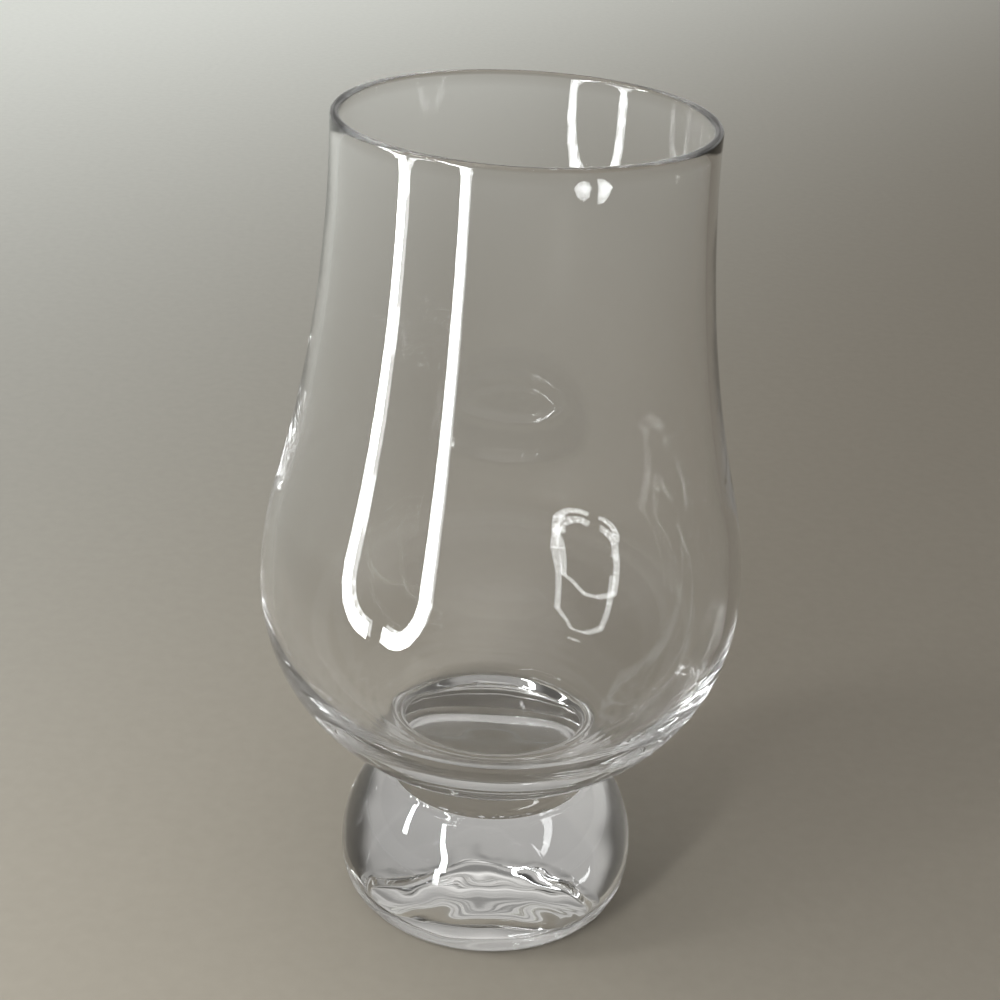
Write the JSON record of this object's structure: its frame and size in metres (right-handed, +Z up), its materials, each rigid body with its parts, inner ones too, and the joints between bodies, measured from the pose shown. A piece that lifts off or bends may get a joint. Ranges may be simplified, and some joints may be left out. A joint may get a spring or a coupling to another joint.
{
  "type": "liqueur glass",
  "caption": "Clear tulip-shaped liqueur glass: a thin blown bowl with a full belly and a narrower rim, fused at a short neck to a solid rounded foot.",
  "frame": {"origin": "centre of the base, on the table that the glass stands on", "axes": "+Z up along the glass's own axis, from the foot to the rim; X and Y are free because the glass is round"},
  "size_m": [0.0665, 0.0664, 0.115],
  "materials": {
    "bowl_glass": "clear, fire-polished",
    "foot_glass": "clear, fire-polished, slightly wavy underneath"
  },
  "bodies": {
    "root": {"bowl": "bowl_glass", "foot": "foot_glass"}
  },
  "joints": []
}
